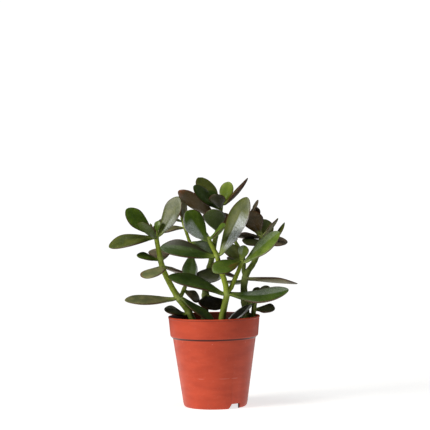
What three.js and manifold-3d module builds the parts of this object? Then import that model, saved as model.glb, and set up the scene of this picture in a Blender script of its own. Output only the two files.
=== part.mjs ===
// A young jade plant (Crassula ovata) in a moulded terracotta-coloured nursery pot.
//
// Millimetres, +Z up. The origin is on the ground at the pot's axis, and the front of
// the plant faces -Y. Every stem and every leaf is a separate solid, and pieces that
// touch on the plant keep a small clearance here.

import * as THREE from 'three';
import { mergeVertices } from 'three/addons/utils/BufferGeometryUtils.js';
import Module from 'manifold-3d';

const wasm = await Module();
wasm.setup();

// ---------------------------------------------------------------- driving dimensions

const CLEARANCE = 0.3;

// Pot: a thin tapered cup with a deeper band round its mouth.
const RIM_RADIUS = 60;
const POT_HEIGHT = 118;
const POT_SEGMENTS = 56;
const WALL = 1.6;
const BAND_FOOT_RADIUS = 57.4;
const BAND_FOOT_HEIGHT = 92.2;
const BODY_TOP_RADIUS = 54.2;
const BODY_TOP_HEIGHT = 89.6;
const BODY_FOOT_RADIUS = 42;
const BODY_FOOT_HEIGHT = 4.6;
const FOOT_RADIUS = 39.6;
const FOOT_WIDTH = 2;
const FOOT_ROUND = 1.5;
const FLOOR_HEIGHT = 7;
const FLOOR_TOP = FLOOR_HEIGHT + WALL;
const FLOOR_CORNER = 1;
const CENTRE_CUP_RADIUS = 8;
const DRAFT = 0.5;
const LIP_HEIGHT = 2.2;
const LIP_PROUD = 0.4;
const LIP_ROUND = 0.7;
const BAND_INNER_RADIUS = BAND_FOOT_RADIUS - WALL;
const LEDGE_HEIGHT = BAND_FOOT_HEIGHT + 1;
const DRAIN_HOLES = 6;
const DRAIN_HOLE_RADIUS = 4;
const DRAIN_CIRCLE_RADIUS = 26;
const NOTCH_WIDTH = 18;
const NOTCH_HEIGHT = 6.6;
const NOTCH_SLANT = 4;
const NOTCH_INNER_RADIUS = FOOT_RADIUS - 8;
const NOTCH_OUTER_RADIUS = FOOT_RADIUS + 12;
const NOTCH_AZIMUTHS = [-53, 127];

// Soil: fills the pot to a little below the rim.
const SOIL_HEIGHT = 100;
const SOIL_EDGE_DROP = 2;
const SOIL_CROWN = 1;
const SOIL_FOOT = FLOOR_TOP + CLEARANCE;
const SOIL_CORNER = 2;
const SOIL_SLOPE_START = 12;
const SOIL_SLOPE_END = 28;

// Leaves: thick and obovate, flatter on top than underneath.
const LEAF_SIDES = 8;
const LEAF_RINGS = 8;
const LEAF_THICKNESS_BASE = 3;
const LEAF_THICKNESS_PER_WIDTH = 0.12;
const LEAF_TOP_SHARE = 0.35;
const LEAF_CUP = 0.1;
const PETIOLE_RADIUS = 1.6;

// Stems: round and slightly tapered.
const STEM_SIDES = 8;

// ---------------------------------------------------------------- colours

const finish = (color, roughness) => new THREE.MeshStandardMaterial({ color, roughness, metalness: 0 });
const TERRACOTTA = finish(0xb4503a, 0.45);
const SOIL_BROWN = finish(0x33261c, 0.95);
const STEM_YELLOW_GREEN = finish(0x7f9433, 0.5);
const STEM_DARK_GREEN = finish(0x4d5a26, 0.55);
const LEAF_COLOURS = {
  green: finish(0x3a5422, 0.35),
  olive: finish(0x565f33, 0.35),
  dark: finish(0x232c18, 0.35),
  bronze: finish(0x3c2c20, 0.4),
  young: finish(0x6b8434, 0.35),
};

// ---------------------------------------------------------------- stems

// Each stem follows a smooth curve through its points, from its foot to its tip.
// The main stems start below the soil surface, and the others just clear of the
// stem that they branch from.
const stems = {
  left: {
    radii: [4.8, 2.9],
    colour: STEM_YELLOW_GREEN,
    points: [
      [-24, -3, 82], [-25, -5, 100], [-28, -7, 113], [-34, -9, 126], [-46, -12, 143],
      [-59, -16, 167], [-66, -18, 184], [-70, -20, 204], [-73, -20, 222], [-74, -20, 231],
    ],
  },
  inner: {
    radii: [2.6, 2],
    colour: STEM_YELLOW_GREEN,
    points: [
      [-42, -7, 146], [-37, 2, 157], [-31, 10, 175], [-26, 16, 193], [-29, 20, 209],
      [-34, 20, 225], [-39, 20, 241],
    ],
  },
  front: {
    radii: [5, 2.6],
    colour: STEM_YELLOW_GREEN,
    points: [
      [8, -26, 82], [10, -30, 115], [14, -32, 134], [17, -34, 150], [14, -36, 167],
      [8, -38, 185], [5, -38, 199], [-1, -40, 211], [-6, -42, 222],
    ],
  },
  fork: {
    radii: [3.1, 2.5],
    colour: STEM_YELLOW_GREEN,
    points: [[23, -31, 157], [27, -30, 166], [33, -28, 179], [38, -26, 192]],
  },
  centre: {
    radii: [5.7, 2.4],
    colour: STEM_DARK_GREEN,
    points: [
      [-10, 24, 82], [-12, 25, 110], [-11, 25, 143], [-9, 24, 163], [-4, 22, 182],
      [-1, 20, 195], [3, 16, 216], [9, 12, 240], [12, 10, 264],
    ],
  },
  right: {
    radii: [6, 2.2],
    colour: STEM_DARK_GREEN,
    points: [
      [38, 18, 82], [42, 22, 110], [41, 22, 136], [40, 22, 152], [42, 22, 166],
      [47, 20, 176], [53, 20, 184], [59, 20, 197], [64, 22, 211], [62, 24, 226], [54, 27, 247],
    ],
  },
  back: {
    radii: [2.8, 2.1],
    colour: STEM_DARK_GREEN,
    points: [[40, 29, 175], [41, 32, 186], [36, 38, 202], [27, 42, 217]],
  },
  short: {
    radii: [4, 2.8],
    colour: STEM_DARK_GREEN,
    points: [[46, 0, 84], [49, 1, 108], [52, 3, 122], [54, 4, 139]],
  },
};

// ---------------------------------------------------------------- leaves

// at: how far up its stem a leaf grows, 0 at the foot and 1 at the tip.
// azimuth, rise: the way it points, in degrees; -90 is the front, and 0 the right.
// length: from the stem's axis to the leaf's tip.
// turn: how far it is rolled about its own length, and curl: how far it bends upwards
// from its foot to its tip. cup: how far its edges rise, as a share of its half width.
const leaves = {
  left: [
    { at: 0.27, azimuth: -167, rise: 9, length: 33, width: 23, turn: -24, curl: -6, colour: 'dark' },
    { at: 0.41, azimuth: -18, rise: -31, length: 55, width: 23, turn: 12, curl: 8, colour: 'green' },
    { at: 0.43, azimuth: -162, rise: -2, length: 71, width: 26, turn: -24, curl: 6, colour: 'olive' },
    { at: 0.71, azimuth: -116, rise: -18, length: 43, width: 33, turn: 4, curl: -12, colour: 'olive' },
    { at: 0.7, azimuth: 58, rise: -14, length: 66, width: 23, turn: 16, curl: -8, colour: 'olive' },
    { at: 0.76, azimuth: 93, rise: 18, length: 45, width: 29, turn: -1, curl: 12, colour: 'olive' },
    { at: 0.77, azimuth: -157, rise: 10, length: 33, width: 15, turn: -36, curl: -14, colour: 'green' },
    { at: 0.95, azimuth: -164, rise: -10, length: 64, width: 28, turn: -30, curl: -22, colour: 'olive' },
    { at: 0.96, azimuth: -11, rise: 58, length: 59, width: 26, turn: 67, curl: 16, colour: 'olive' },
    { at: 0.98, azimuth: -159, rise: 39, length: 51, width: 24, turn: -76, curl: 4, colour: 'green' },
    { at: 0.95, azimuth: -118, rise: 30, length: 41, width: 23, turn: -6, curl: 10, colour: 'dark' },
  ],
  inner: [
    { at: 0.09, azimuth: 16, rise: -36, length: 26, width: 20, turn: 42, curl: -8, colour: 'olive' },
    { at: 0.57, azimuth: -99, rise: -39, length: 56, width: 20, turn: -18, curl: -14, colour: 'dark' },
    { at: 0.72, azimuth: -31, rise: -20, length: 38, width: 28, turn: 42, curl: -6, colour: 'olive' },
    { at: 0.93, azimuth: -168, rise: -11, length: 38, width: 18, turn: -20, curl: -30, colour: 'olive' },
    { at: 0.97, azimuth: 123, rise: 76, length: 38, width: 21, turn: 20, curl: 4, colour: 'bronze' },
  ],
  centre: [
    { at: 0.33, azimuth: -66, rise: -27, length: 38, width: 40, turn: 0, curl: -10, colour: 'dark' },
    { at: 0.53, azimuth: -91, rise: -22, length: 46, width: 34, turn: 0, curl: -28, colour: 'dark' },
    { at: 0.53, azimuth: 12, rise: -21, length: 41, width: 22, turn: 6, curl: -8, colour: 'dark' },
    { at: 0.82, azimuth: -102, rise: 42, length: 40, width: 29, turn: 8, curl: 16, colour: 'green' },
    { at: 0.89, azimuth: -176, rise: 35, length: 66, width: 26, turn: 45, curl: -8, colour: 'bronze' },
    { at: 0.97, azimuth: -143, rise: 33, length: 53, width: 23, turn: -66, curl: 4, colour: 'green' },
    { at: 0.98, azimuth: 143, rise: 47, length: 53, width: 28, turn: -15, curl: 6, colour: 'olive' },
    { at: 0.98, azimuth: -102, rise: 27, length: 37, width: 21, turn: 6, curl: 6, colour: 'dark' },
    { at: 1, azimuth: 48, rise: 60, length: 33, width: 18, turn: 30, curl: 4, colour: 'young' },
    { at: 1, azimuth: -10, rise: 43, length: 49, width: 23, turn: 12, curl: 10, colour: 'olive' },
  ],
  front: [
    { at: 0.47, azimuth: -168, rise: 17, length: 80, width: 30, turn: -32, curl: -22, colour: 'green' },
    { at: 0.47, azimuth: -12, rise: 3, length: 81, width: 32, turn: 30, curl: 46, colour: 'olive' },
    {
      at: 0.82, azimuth: -177, rise: 9, length: 74, width: 30,
      turn: -42, curl: -8, cup: 0.25, colour: 'green',
    },
    {
      at: 0.82, azimuth: -11, rise: 61, length: 85, width: 33,
      turn: 58, curl: 8, cup: 0.06, colour: 'olive',
    },
    { at: 0.99, azimuth: -150, rise: 48, length: 48, width: 31, turn: -84, curl: -6, colour: 'green' },
    {
      at: 0.99, azimuth: -50, rise: 28, length: 38, width: 18,
      turn: 45, curl: 10, cup: 0.3, colour: 'green',
    },
  ],
  fork: [
    { at: 0.92, azimuth: -136, rise: -12, length: 52, width: 25, turn: -33, curl: -12, colour: 'green' },
    { at: 0.92, azimuth: 108, rise: 7, length: 43, width: 20, turn: -4, curl: 8, colour: 'dark' },
    { at: 0.95, azimuth: -16, rise: 36, length: 63, width: 27, turn: 50, curl: 8, colour: 'young' },
    { at: 0.95, azimuth: 141, rise: 42, length: 31, width: 22, turn: -27, curl: 4, colour: 'olive' },
    {
      at: 0.99, azimuth: -70, rise: 67, length: 21, width: 14,
      turn: 155, curl: 4, cup: 0.05, colour: 'young',
    },
  ],
  right: [
    { at: 0.3, azimuth: -25, rise: 38, length: 29, width: 20, turn: 50, curl: 4, colour: 'dark' },
    { at: 0.49, azimuth: -21, rise: -6, length: 73, width: 26, turn: -14, curl: -10, colour: 'olive' },
    { at: 0.46, azimuth: 112, rise: -4, length: 52, width: 26, turn: 0, curl: 8, colour: 'green' },
    { at: 0.78, azimuth: 19, rise: 3, length: 37, width: 20, turn: 32, curl: -6, colour: 'bronze' },
    { at: 0.8, azimuth: -127, rise: -6, length: 34, width: 26, turn: -16, curl: -12, colour: 'bronze' },
    { at: 0.83, azimuth: -156, rise: 4, length: 38, width: 21, turn: 19, curl: -12, colour: 'bronze' },
    { at: 0.79, azimuth: 71, rise: 57, length: 35, width: 26, turn: 23, curl: 4, colour: 'olive' },
    { at: 0.84, azimuth: -8, rise: 44, length: 33, width: 18, turn: -1, curl: 8, colour: 'bronze' },
    { at: 0.85, azimuth: -127, rise: 55, length: 38, width: 26, turn: -148, curl: 4, colour: 'bronze' },
  ],
  back: [
    { at: 0.92, azimuth: 141, rise: 65, length: 41, width: 18, turn: -26, curl: 4, colour: 'bronze' },
  ],
  short: [
    { at: 0.76, azimuth: -12, rise: 0, length: 28, width: 23, turn: 24, curl: -6, colour: 'dark' },
    { at: 0.9, azimuth: -137, rise: -27, length: 50, width: 24, turn: 6, curl: -8, colour: 'dark' },
    { at: 0.98, azimuth: -8, rise: 40, length: 26, width: 17, turn: 62, curl: 4, colour: 'dark' },
  ],
};

// ---------------------------------------------------------------- helpers

const radians = THREE.MathUtils.degToRad;
const point = (xyz) => new THREE.Vector3(...xyz);

// Only the positions are kept and shared, so that a mesh is one closed surface.
function closedSurface(geometry) {
  geometry.deleteAttribute('normal');
  geometry.deleteAttribute('uv');
  return mergeVertices(geometry, 1e-4);
}

// Moves every vertex of a geometry to where place(vertex) says.
function reshape(geometry, place) {
  const surface = closedSurface(geometry);
  const positions = surface.getAttribute('position');
  const vertex = new THREE.Vector3();
  for (let i = 0; i < positions.count; i += 1) {
    vertex.fromBufferAttribute(positions, i);
    positions.setXYZ(i, ...place(vertex).toArray());
  }
  surface.computeVertexNormals();
  return surface;
}

function toSolid(geometry) {
  const surface = closedSurface(geometry);
  return new wasm.Manifold(new wasm.Mesh({
    numProp: 3,
    vertProperties: new Float32Array(surface.getAttribute('position').array),
    triVerts: new Uint32Array(surface.getIndex().array),
  }));
}

function toGeometry(solid) {
  const { vertProperties, triVerts } = solid.getMesh();
  const geometry = new THREE.BufferGeometry();
  geometry.setAttribute('position', new THREE.BufferAttribute(vertProperties, 3));
  geometry.setIndex(new THREE.BufferAttribute(triVerts, 1));
  geometry.computeVertexNormals();
  return geometry;
}

// A turned shape about the vertical axis, from [radius, height] points.
function turned(outline) {
  const profile = outline.map(([radius, height]) => new THREE.Vector2(radius, height));
  return new THREE.LatheGeometry(profile, POT_SEGMENTS).rotateX(Math.PI / 2);
}

// ---------------------------------------------------------------- pot

// The inside of the tapered body wall at a given height.
function innerRadius(height) {
  const rise = (height - BODY_FOOT_HEIGHT) / (BODY_TOP_HEIGHT - BODY_FOOT_HEIGHT);
  return THREE.MathUtils.lerp(BODY_FOOT_RADIUS, BODY_TOP_RADIUS, rise) - WALL;
}

function potGeometry() {
  const cupInner = CENTRE_CUP_RADIUS - WALL;
  const underside = [
    [0, 0],
    [CENTRE_CUP_RADIUS - DRAFT, 0],
    [CENTRE_CUP_RADIUS, FLOOR_HEIGHT],
    [FOOT_RADIUS - FOOT_WIDTH + DRAFT, FLOOR_HEIGHT],
    [FOOT_RADIUS - FOOT_WIDTH, 0],
  ];
  const outside = [
    [FOOT_RADIUS, 0],
    [FOOT_RADIUS + FOOT_ROUND, FOOT_ROUND],
    [BODY_FOOT_RADIUS, BODY_FOOT_HEIGHT],
    [BODY_TOP_RADIUS, BODY_TOP_HEIGHT],
    [BAND_FOOT_RADIUS, BAND_FOOT_HEIGHT],
    [RIM_RADIUS - LIP_PROUD, POT_HEIGHT - LIP_HEIGHT],
    [RIM_RADIUS, POT_HEIGHT - LIP_ROUND],
    [RIM_RADIUS - LIP_ROUND, POT_HEIGHT],
    [RIM_RADIUS - WALL, POT_HEIGHT],
  ];
  const inside = [
    [RIM_RADIUS - WALL - LIP_ROUND, POT_HEIGHT - LIP_ROUND],
    [BAND_INNER_RADIUS, LEDGE_HEIGHT],
    [innerRadius(BODY_TOP_HEIGHT), BODY_TOP_HEIGHT],
    [innerRadius(FLOOR_TOP + FLOOR_CORNER), FLOOR_TOP + FLOOR_CORNER],
    [innerRadius(FLOOR_TOP) - FLOOR_CORNER, FLOOR_TOP],
    [cupInner, FLOOR_TOP],
    [cupInner - DRAFT, WALL],
    [0, WALL],
  ];
  let pot = toSolid(turned([...underside, ...outside, ...inside]));

  for (let i = 0; i < DRAIN_HOLES; i += 1) {
    const angle = (2 * Math.PI * (i + 0.5)) / DRAIN_HOLES;
    const drill = new THREE.CylinderGeometry(DRAIN_HOLE_RADIUS, DRAIN_HOLE_RADIUS, 3 * WALL, 16);
    drill.rotateX(Math.PI / 2);
    drill.translate(
      DRAIN_CIRCLE_RADIUS * Math.cos(angle),
      DRAIN_CIRCLE_RADIUS * Math.sin(angle),
      FLOOR_HEIGHT + WALL / 2,
    );
    pot = pot.subtract(toSolid(drill));
  }

  for (const azimuth of NOTCH_AZIMUTHS) {
    const shape = new THREE.Shape();
    shape.moveTo(-NOTCH_WIDTH / 2, -1);
    shape.lineTo(NOTCH_WIDTH / 2, -1);
    shape.lineTo(NOTCH_WIDTH / 2 - DRAFT, NOTCH_HEIGHT);
    shape.lineTo(-NOTCH_WIDTH / 2 + NOTCH_SLANT, NOTCH_HEIGHT);
    shape.closePath();
    const depth = NOTCH_OUTER_RADIUS - NOTCH_INNER_RADIUS;
    const cutter = new THREE.ExtrudeGeometry(shape, { depth, bevelEnabled: false });
    cutter.rotateX(Math.PI / 2);
    cutter.translate(0, -NOTCH_INNER_RADIUS, 0);
    cutter.rotateZ(radians(azimuth + 90));
    pot = pot.subtract(toSolid(cutter));
  }
  return toGeometry(pot);
}

// ---------------------------------------------------------------- stems

function stemCurve(stem) {
  return new THREE.CatmullRomCurve3(stem.points.map(point));
}

// The stem's radius at a share of its length, with an optional extra clearance.
function stemRadius(stem, share, clearance = 0) {
  return THREE.MathUtils.lerp(...stem.radii, share) + clearance;
}

function stemGeometry(stem, clearance = 0) {
  const curve = stemCurve(stem);
  const steps = 2 * stem.points.length;
  const rod = new THREE.CylinderGeometry(1, 1, 1, STEM_SIDES, steps);
  return reshape(rod, (vertex) => {
    const share = vertex.y + 0.5;
    const along = curve.getTangentAt(share);
    const side = new THREE.Vector3().crossVectors(along, new THREE.Vector3(0, 1, 0)).normalize();
    const other = new THREE.Vector3().crossVectors(side, along);
    const radius = stemRadius(stem, share, clearance);
    return curve.getPointAt(share)
      .addScaledVector(side, vertex.x * radius)
      .addScaledVector(other, vertex.z * radius);
  });
}

// ---------------------------------------------------------------- soil

function soilGeometry() {
  const cupRadius = CENTRE_CUP_RADIUS - WALL - DRAFT - CLEARANCE;
  const edgeRadius = BAND_INNER_RADIUS - CLEARANCE;
  let soil = toSolid(turned([
    [0, WALL + CLEARANCE],
    [cupRadius, WALL + CLEARANCE],
    [cupRadius, SOIL_FOOT],
    [innerRadius(SOIL_FOOT) - SOIL_CORNER - CLEARANCE, SOIL_FOOT],
    [innerRadius(SOIL_FOOT + SOIL_CORNER) - CLEARANCE, SOIL_FOOT + SOIL_CORNER],
    [innerRadius(BODY_TOP_HEIGHT) - CLEARANCE, BODY_TOP_HEIGHT - CLEARANCE],
    [edgeRadius, LEDGE_HEIGHT + CLEARANCE],
    [edgeRadius, SOIL_HEIGHT - SOIL_EDGE_DROP],
    [edgeRadius - SOIL_SLOPE_START, SOIL_HEIGHT - SOIL_EDGE_DROP / 4],
    [edgeRadius - SOIL_SLOPE_END, SOIL_HEIGHT],
    [0, SOIL_HEIGHT + SOIL_CROWN],
  ]));
  for (const stem of Object.values(stems)) {
    soil = soil.subtract(toSolid(stemGeometry(stem, CLEARANCE)));
  }
  return toGeometry(soil);
}

// ---------------------------------------------------------------- leaves

// Half the leaf's width along its length, as a share of its greatest half width.
function leafOutline(along) {
  const petiole = 0.2 * Math.sqrt(Math.sin(Math.PI * along));
  const blade = 0.84 * Math.sin(Math.PI * along ** 1.6) ** 0.6;
  return petiole + blade;
}

// The leaf's thickness along its length, as a share of its greatest thickness.
function leafFullness(along) {
  return Math.sqrt(Math.sin(Math.PI * along ** 0.8));
}

// A leaf that lies along +Y from its foot at the origin, with its upper face towards +Z.
function leafGeometry(length, { width, curl, cup = LEAF_CUP }) {
  const thickness = LEAF_THICKNESS_BASE + LEAF_THICKNESS_PER_WIDTH * width;
  const bend = radians(curl);
  const bendRadius = length / (2 * Math.sin(bend / 2));
  const ball = new THREE.SphereGeometry(1, LEAF_SIDES, LEAF_RINGS);
  return reshape(ball, (vertex) => {
    const along = THREE.MathUtils.clamp((1 + vertex.y) / 2, 0, 1);
    const ringRadius = Math.hypot(vertex.x, vertex.z) || 1;
    const across = (vertex.x / ringRadius) * leafOutline(along) * (width / 2);
    const share = vertex.z > 0 ? LEAF_TOP_SHARE : 1 - LEAF_TOP_SHARE;
    const depth = (vertex.z / ringRadius) * leafFullness(along) * share * thickness;
    const lift = depth + cup * Math.abs(across) * leafOutline(along);
    const angle = bend * (along - 0.5);
    const forward = bendRadius * (Math.sin(angle) + Math.sin(bend / 2));
    const upward = bendRadius * (Math.cos(bend / 2) - Math.cos(angle));
    return new THREE.Vector3(
      across,
      forward - lift * Math.sin(angle),
      upward + lift * Math.cos(angle),
    );
  });
}

// A leaf in its place on its stem.
function leafMesh(name, stem, leaf) {
  const curve = stemCurve(stem);
  const node = curve.getPointAt(leaf.at);
  const stemWay = curve.getTangentAt(leaf.at);
  const azimuth = radians(leaf.azimuth);
  const rise = radians(leaf.rise);
  const reach = new THREE.Vector3(
    Math.cos(rise) * Math.cos(azimuth),
    Math.cos(rise) * Math.sin(azimuth),
    Math.sin(rise),
  );
  const alongStem = reach.dot(stemWay);
  const outward = reach.clone().addScaledVector(stemWay, -alongStem).normalize();
  const standoff = stemRadius(stem, leaf.at, CLEARANCE) + PETIOLE_RADIUS * Math.abs(alongStem);
  const foot = node.clone().addScaledVector(outward, standoff);
  const tip = node.clone().addScaledVector(reach, leaf.length);
  const forward = tip.clone().sub(foot);
  const length = forward.length();
  forward.normalize();
  const upper = new THREE.Vector3(
    -Math.sin(rise) * Math.cos(azimuth),
    -Math.sin(rise) * Math.sin(azimuth),
    Math.cos(rise),
  );
  upper.applyAxisAngle(reach, radians(leaf.turn));
  upper.addScaledVector(forward, -upper.dot(forward)).normalize();
  const side = new THREE.Vector3().crossVectors(forward, upper);
  const mesh = new THREE.Mesh(leafGeometry(length, leaf), LEAF_COLOURS[leaf.colour]);
  mesh.name = name;
  mesh.quaternion.setFromRotationMatrix(new THREE.Matrix4().makeBasis(side, forward, upper));
  mesh.position.copy(foot);
  return mesh;
}

// ---------------------------------------------------------------- the plant in its pot

const plant = new THREE.Group();

const pot = new THREE.Mesh(potGeometry(), TERRACOTTA);
pot.name = 'pot';
plant.add(pot);

const soil = new THREE.Mesh(soilGeometry(), SOIL_BROWN);
soil.name = 'soil';
plant.add(soil);

for (const [stemName, stem] of Object.entries(stems)) {
  const mesh = new THREE.Mesh(stemGeometry(stem), stem.colour);
  mesh.name = `${stemName}_stem`;
  plant.add(mesh);
  (leaves[stemName] ?? []).forEach((leaf, i) => {
    plant.add(leafMesh(`${stemName}_leaf_${i + 1}`, stem, leaf));
  });
}

export default plant;
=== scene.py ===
# %% [markdown]
# # A young jade plant in a nursery pot
#
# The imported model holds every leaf, every stem, the soil and the pot at their real size and
# place, as plain solids. This notebook grows the fine surfaces over that frame: it reads each
# solid back, works out how it was shaped, and builds the living thing in the same place.

# %% Load the frame
import math
import random

import bmesh
import bpy
from mathutils import Matrix, Vector, noise


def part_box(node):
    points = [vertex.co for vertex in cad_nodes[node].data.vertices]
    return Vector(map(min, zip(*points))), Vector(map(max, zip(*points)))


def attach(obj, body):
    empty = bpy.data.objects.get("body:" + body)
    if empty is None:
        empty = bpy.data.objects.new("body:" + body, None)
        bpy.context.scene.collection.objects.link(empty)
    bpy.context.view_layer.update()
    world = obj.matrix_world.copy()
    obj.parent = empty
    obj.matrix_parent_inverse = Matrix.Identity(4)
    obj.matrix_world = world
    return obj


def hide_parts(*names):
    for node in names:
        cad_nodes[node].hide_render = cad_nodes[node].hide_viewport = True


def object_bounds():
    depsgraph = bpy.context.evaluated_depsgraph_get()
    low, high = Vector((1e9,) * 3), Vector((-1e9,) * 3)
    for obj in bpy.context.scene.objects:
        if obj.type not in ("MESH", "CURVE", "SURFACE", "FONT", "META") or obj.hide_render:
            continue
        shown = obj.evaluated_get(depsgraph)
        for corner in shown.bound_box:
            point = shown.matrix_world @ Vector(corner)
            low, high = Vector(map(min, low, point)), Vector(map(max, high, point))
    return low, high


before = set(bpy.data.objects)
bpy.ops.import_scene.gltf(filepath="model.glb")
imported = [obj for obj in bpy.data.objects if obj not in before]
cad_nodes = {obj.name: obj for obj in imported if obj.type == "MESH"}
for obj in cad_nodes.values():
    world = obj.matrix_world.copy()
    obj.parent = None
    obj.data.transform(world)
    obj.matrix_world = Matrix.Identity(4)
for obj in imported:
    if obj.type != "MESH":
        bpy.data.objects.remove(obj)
cad_low, cad_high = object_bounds()
MM = 0.001
print(f"{len(cad_nodes)} solids, {(cad_high - cad_low).z / MM:.0f} mm tall")

# %% [markdown]
# ## Node trees that read like sums
#
# Materials and Geometry Nodes are both trees of nodes, and wiring them one link at a time
# hides what they work out. A `Signal` stands for one output socket. Adding, subtracting or
# multiplying signals adds the Math nodes, so a mask is written as the formula that it is.

# %% Signals
class Signal:
    """An output socket of a node tree, which arithmetic extends with Math nodes."""

    def __init__(self, sheet, socket):
        self.sheet = sheet
        self.socket = socket

    def also(self, output):
        """Another output of the same node."""
        return Signal(self.sheet, self.socket.node.outputs[output])

    def __add__(self, other):
        return self.sheet.math("ADD", self, other)

    def __sub__(self, other):
        return self.sheet.math("SUBTRACT", self, other)

    def __rsub__(self, other):
        return self.sheet.math("SUBTRACT", other, self)

    def __mul__(self, other):
        return self.sheet.math("MULTIPLY", self, other)

    __radd__ = __add__
    __rmul__ = __mul__


# %% Sheets: one node tree each
def find_socket(sockets, key):
    """The socket with that identifier, or else the first that is in use with that name."""
    by_identifier = [s for s in sockets if s.identifier == key]
    by_name = [s for s in sockets if s.name == key and s.enabled]
    return (by_identifier + by_name)[0]


class Sheet:
    """A node tree that is written as Python."""

    def __init__(self, tree):
        self.tree = tree

    def node(self, kind, settings=None, values=None, output=0):
        """Adds a node: its settings first, then the values or links of its sockets."""
        node = self.tree.nodes.new(kind)
        for key, setting in (settings or {}).items():
            setattr(node, key, setting)
        for key, value in (values or {}).items():
            socket = node.inputs[key] if isinstance(key, int) else find_socket(node.inputs, key)
            if isinstance(value, Signal):
                self.tree.links.new(value.socket, socket)
            else:
                socket.default_value = value
        if not node.outputs:
            return node
        made = node.outputs[output] if isinstance(output, int) else find_socket(node.outputs, output)
        return Signal(self, made)

    def math(self, operation, *terms):
        return self.node("ShaderNodeMath", {"operation": operation}, dict(enumerate(terms)))

    def clamp(self, signal):
        return self.node("ShaderNodeClamp", None, {"Value": signal})

    def step(self, signal, low, high, to_low=0.0, to_high=1.0):
        """Rises smoothly from to_low to to_high while the signal goes from low to high."""
        values = {"Value": signal, "From Min": low, "From Max": high, "To Min": to_low, "To Max": to_high}
        return self.node("ShaderNodeMapRange", {"interpolation_type": "SMOOTHSTEP"}, values)

    def attribute(self, name):
        return self.node("ShaderNodeAttribute", {"attribute_name": name}, None, "Fac")

    def blend(self, share, first, second, blend_type="MIX"):
        """A colour that goes from first to second."""
        values = {"Factor_Float": share, "A_Color": first, "B_Color": second}
        settings = {"data_type": "RGBA", "blend_type": blend_type}
        return self.node("ShaderNodeMix", settings, values, "Result_Color")

    def noise(self, where, scale, detail=2.0, rough=0.5, distortion=0.0):
        values = {"Vector": where, "Scale": scale, "Detail": detail}
        values.update({"Roughness": rough, "Distortion": distortion})
        return self.node("ShaderNodeTexNoise", None, values, "Fac")

    def stretched(self, where, scale):
        """Positions scaled by a different number along X, Y and Z."""
        return self.node("ShaderNodeMapping", None, {"Vector": where, "Scale": scale})

    def cells(self, where, scale, randomness=1.0):
        """The distance to the nearest of many scattered points."""
        values = {"Vector": where, "Scale": scale, "Randomness": randomness}
        return self.node("ShaderNodeTexVoronoi", None, values, "Distance")


# %% Colours and a new material
def colour(text):
    """A colour written as six hexadecimal digits, as the linear values that shaders use."""
    shares = [int(text[i : i + 2], 16) / 255 for i in (0, 2, 4)]
    linear = [s / 12.92 if s <= 0.04045 else ((s + 0.055) / 1.055) ** 2.4 for s in shares]
    return (*linear, 1.0)


def new_finish(name, build, **constants):
    """A material whose build(sheet, where) returns what its Principled shader reads."""
    material = bpy.data.materials.new(name)
    material.use_nodes = True
    material.node_tree.nodes.clear()
    sheet = Sheet(material.node_tree)
    where = sheet.node("ShaderNodeTexCoord", None, None, "Object")
    values = {**constants, **build(sheet, where)}
    shader = sheet.node("ShaderNodeBsdfPrincipled", None, values, "BSDF")
    sheet.node("ShaderNodeOutputMaterial", None, {"Surface": shader})
    return material


def bumps(sheet, height, depth, strength=1.0):
    """A Normal that stands for a surface relief of that depth, in metres."""
    values = {"Height": height, "Distance": depth, "Strength": strength}
    return sheet.node("ShaderNodeBump", None, values, "Normal")


# %% [markdown]
# ## Reading a solid back
#
# A leaf or a stem in the frame is a skin of eight-cornered rings between two poles. A pole is
# the only corner where eight edges meet, so a walk outwards from one pole meets the rings in
# order. From them come a stem's axis and thickness, and a leaf's length, width, thickness,
# bow and cupping. Measuring the frame is safer than repeating its numbers: if the plant is
# regrown in another shape, this notebook follows it.

# %% Rings of a solid
SIDES = 8


def read_rings(name):
    """The corners of a solid, ring by ring, from one pole to the other."""
    skin = bmesh.new()
    skin.from_mesh(cad_nodes[name].data)
    bmesh.ops.remove_doubles(skin, verts=skin.verts, dist=0.01 * MM)
    pole = next(v for v in skin.verts if len(v.link_edges) == SIDES)
    rings = [[pole]]
    seen = {pole}
    while len(seen) < len(skin.verts):
        reached = {edge.other_vert(v) for v in rings[-1] for edge in v.link_edges}
        rings.append(sorted(reached - seen, key=lambda v: v.index))
        seen |= reached
    places = [[v.co.copy() for v in ring] for ring in rings]
    skin.free()
    return places


def middle(points):
    return sum(points, Vector()) / len(points)


# %% Stem axes
def read_stem(name):
    """A stem's axis from its foot to its tip, as (point, radius) pairs."""
    rings = read_rings(name)[1:-1]
    axis = []
    for ring in rings:
        centre = middle(ring)
        axis.append((centre, sum((p - centre).length for p in ring) / len(ring)))
    if axis[0][0].z > axis[-1][0].z:
        axis.reverse()
    return axis


stem_names = [n for n in cad_nodes if n.endswith("_stem")]
stems = {n: read_stem(n) for n in stem_names}
for name, axis in stems.items():
    print(f"{name}: {len(axis)} rings, {2 * axis[0][1] / MM:.1f} mm thick at its foot")


def nearest_on_axis(axis, place):
    """The point of an axis nearest to a place, with the stem's radius there."""
    best = None
    for (a, radius_a), (b, radius_b) in zip(axis, axis[1:]):
        along = (place - a).dot(b - a) / (b - a).length_squared
        along = min(max(along, 0.0), 1.0)
        spot = a.lerp(b, along)
        distance = (spot - place).length
        if best is None or distance < best[0]:
            best = (distance, spot, radius_a + (radius_b - radius_a) * along)
    return best


# %% [markdown]
# ## How a jade leaf is shaped
#
# A jade leaf is a wedge at its foot and a round paddle towards its tip. It stores water, so it
# is thick in the middle, fuller underneath than on top, and runs out to a narrow rim. Young
# leaves are nearly flat, and older ones cup upwards. Two short formulas give the width and the
# thickness along the leaf, and the frame's rings say how large each leaf is.

# %% Leaf formulas
TOP_SHARE = 0.35
MIDDLE_RING = 4


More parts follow.
